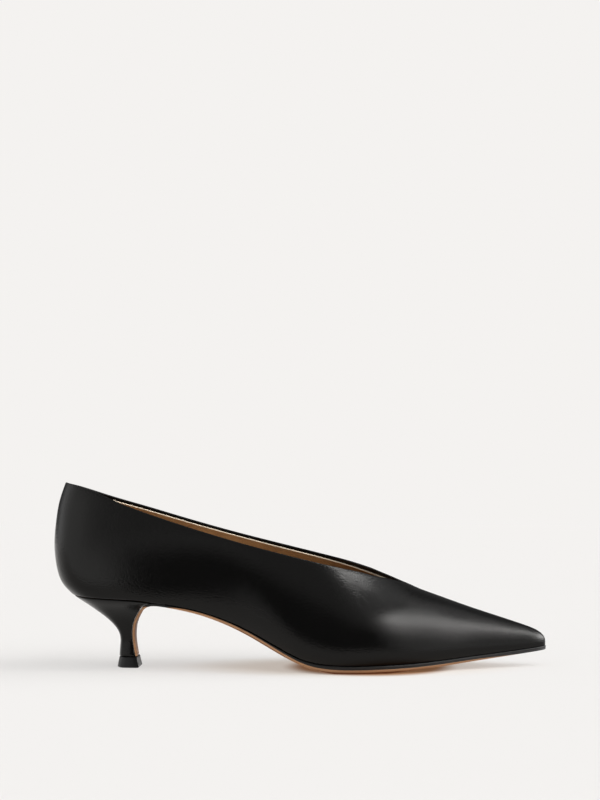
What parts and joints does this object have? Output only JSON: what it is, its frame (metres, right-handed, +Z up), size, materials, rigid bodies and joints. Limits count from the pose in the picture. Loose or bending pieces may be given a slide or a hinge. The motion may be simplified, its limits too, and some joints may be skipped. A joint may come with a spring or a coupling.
{
  "type": "kitten heel pump",
  "caption": "Pointed kitten heel pump in black leather with a V throat, closed back, tan lining and tan leather sole turned down over the heel's breast.",
  "frame": {"origin": "on the floor, under the middle of the shoe's box", "axes": "+X to the toe, +Y to the medial (big toe) side, +Z up"},
  "size_m": [0.2634, 0.0766, 0.0988],
  "materials": {
    "upper_leather": "smooth semi-gloss",
    "heel_leather": "smooth semi-gloss",
    "sole_leather": "smooth, edge inked black above",
    "sock_leather": "matt",
    "top_piece_rubber": "satin"
  },
  "bodies": {
    "root": {"upper": "upper_leather", "insole": "sock_leather", "outsole": "sole_leather", "heel": "heel_leather", "heel_top_piece": "top_piece_rubber"}
  },
  "joints": []
}
